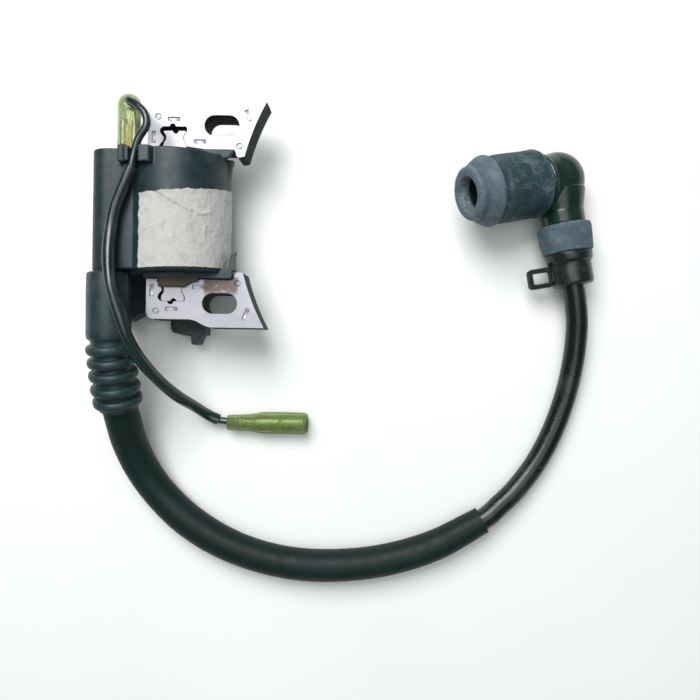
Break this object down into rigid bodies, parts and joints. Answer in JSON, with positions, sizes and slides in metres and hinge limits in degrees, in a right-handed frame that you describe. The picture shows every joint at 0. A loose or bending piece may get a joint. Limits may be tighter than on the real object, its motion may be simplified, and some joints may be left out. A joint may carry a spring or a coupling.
{
  "type": "ignition coil",
  "caption": "Flywheel-magneto ignition coil: laminated steel core, moulded coil housing, sleeved high-tension lead with an angled plug cap, and a stop wire with a bullet connector.",
  "frame": {"origin": "midway between the two bolt slots, on the rear (mounting) face of the core", "axes": "+X points to the flywheel, +Y runs along the row of slots away from the high-tension lead, +Z runs from the engine to the front face; the coil lies on its back on the plane z = -12.5 mm"},
  "size_m": [0.1641, 0.1577, 0.0373],
  "materials": {
    "core_steel": "laminated electrical steel, dull, lightly rusted",
    "housing_plastic": "satin moulded, fine texture",
    "dark_plastic": "matt",
    "bobbin_plastic": "satin",
    "potting_resin": "cast epoxy",
    "winding_copper": "enamelled copper",
    "terminal_brass": "satin",
    "terminal_steel": "tin plated",
    "green_vinyl": "clear yellow-green vinyl",
    "wire_vinyl": "satin vinyl",
    "lead_rubber": "satin",
    "sleeve_rubber": "satin",
    "boot_rubber": "matt",
    "cap_plastic": "gloss",
    "cap_rubber": "matt, chalky",
    "resistor_ceramic": "matt",
    "label_paper": "matt, creased and torn"
  },
  "bodies": {
    "coil": {"core_upper_leg": "core_steel", "core_lower_leg": "core_steel", "core_bar": "core_steel", "primary_bobbin": "bobbin_plastic", "primary_winding": "winding_copper", "secondary_bobbin": "dark_plastic", "secondary_winding": "winding_copper", "potting": "potting_resin", "housing": "housing_plastic", "end_cover": "housing_plastic", "label": "label_paper", "trigger_module": "dark_plastic", "ht_spike": "terminal_brass", "stop_blade": "terminal_brass", "flag_terminal": "terminal_steel", "terminal_sleeve": "green_vinyl", "stop_wire": "wire_vinyl", "stop_wire_tube": "wire_vinyl", "bullet_receptacle": "terminal_steel", "lead_boot": "boot_rubber", "ht_lead": "lead_rubber", "lead_sleeve": "sleeve_rubber"},
    "bullet_cover": {"bullet_sleeve": "green_vinyl"},
    "plug_cap": {"cap_body": "cap_plastic", "cap_collar": "cap_rubber", "cap_end_seal": "boot_rubber", "cap_contact_screw": "terminal_brass", "cap_resistor": "resistor_ceramic", "cap_spring": "terminal_steel", "plug_terminal": "terminal_brass", "nose_boot": "cap_rubber"}
  },
  "joints": [
    {"name": "cap_swivel", "type": "hinge", "parent": "coil", "child": "plug_cap", "pos_m": [0.1098, 0.0157, -0.0031], "axis": [0.1736, -0.9848, 0], "range_deg": [-90, 90]},
    {"name": "bullet_sleeve_slide", "type": "slide", "parent": "coil", "child": "bullet_cover", "axis": [-1, 0, 0], "range_m": [0, 0.002]}
  ]
}
